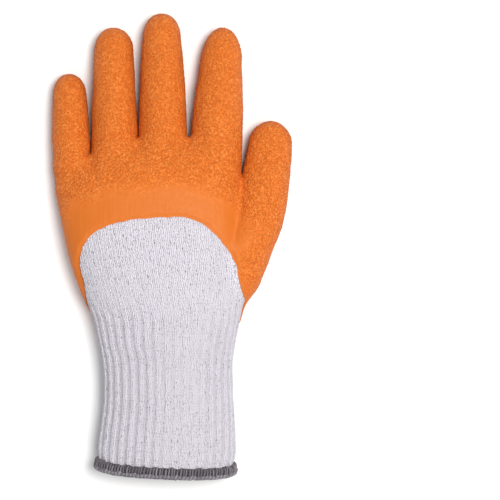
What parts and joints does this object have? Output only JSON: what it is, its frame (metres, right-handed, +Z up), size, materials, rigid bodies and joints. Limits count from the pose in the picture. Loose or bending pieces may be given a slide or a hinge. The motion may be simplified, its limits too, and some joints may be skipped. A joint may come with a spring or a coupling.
{
  "type": "latex coated grip glove",
  "caption": "Left-hand work glove with a crinkled latex coating over palm, thumb, fingers and knuckles, on a knitted liner with a ribbed cuff.",
  "frame": {"origin": "on the surface that the glove lies on, under the middle of its bounding box", "axes": "+Y from the cuff's mouth to the fingertips, +X to the thumb's side, +Z up out of the back of the hand"},
  "size_m": [0.128, 0.2474, 0.0317],
  "materials": {
    "knit": "matt pale grey-white rib and jersey knit",
    "latex": "satin orange latex with a crinkled grip",
    "hem_thread": "matt grey overlock thread"
  },
  "bodies": {
    "root": {"knit_cuff": "knit", "knit_palm": "knit", "knit_back": "knit", "latex_palm": "latex", "latex_knuckles": "latex", "latex_little_finger": "latex", "latex_ring_finger": "latex", "latex_middle_finger": "latex", "latex_index_finger": "latex", "latex_thumb": "latex", "hem_overlock": "hem_thread"}
  },
  "joints": []
}
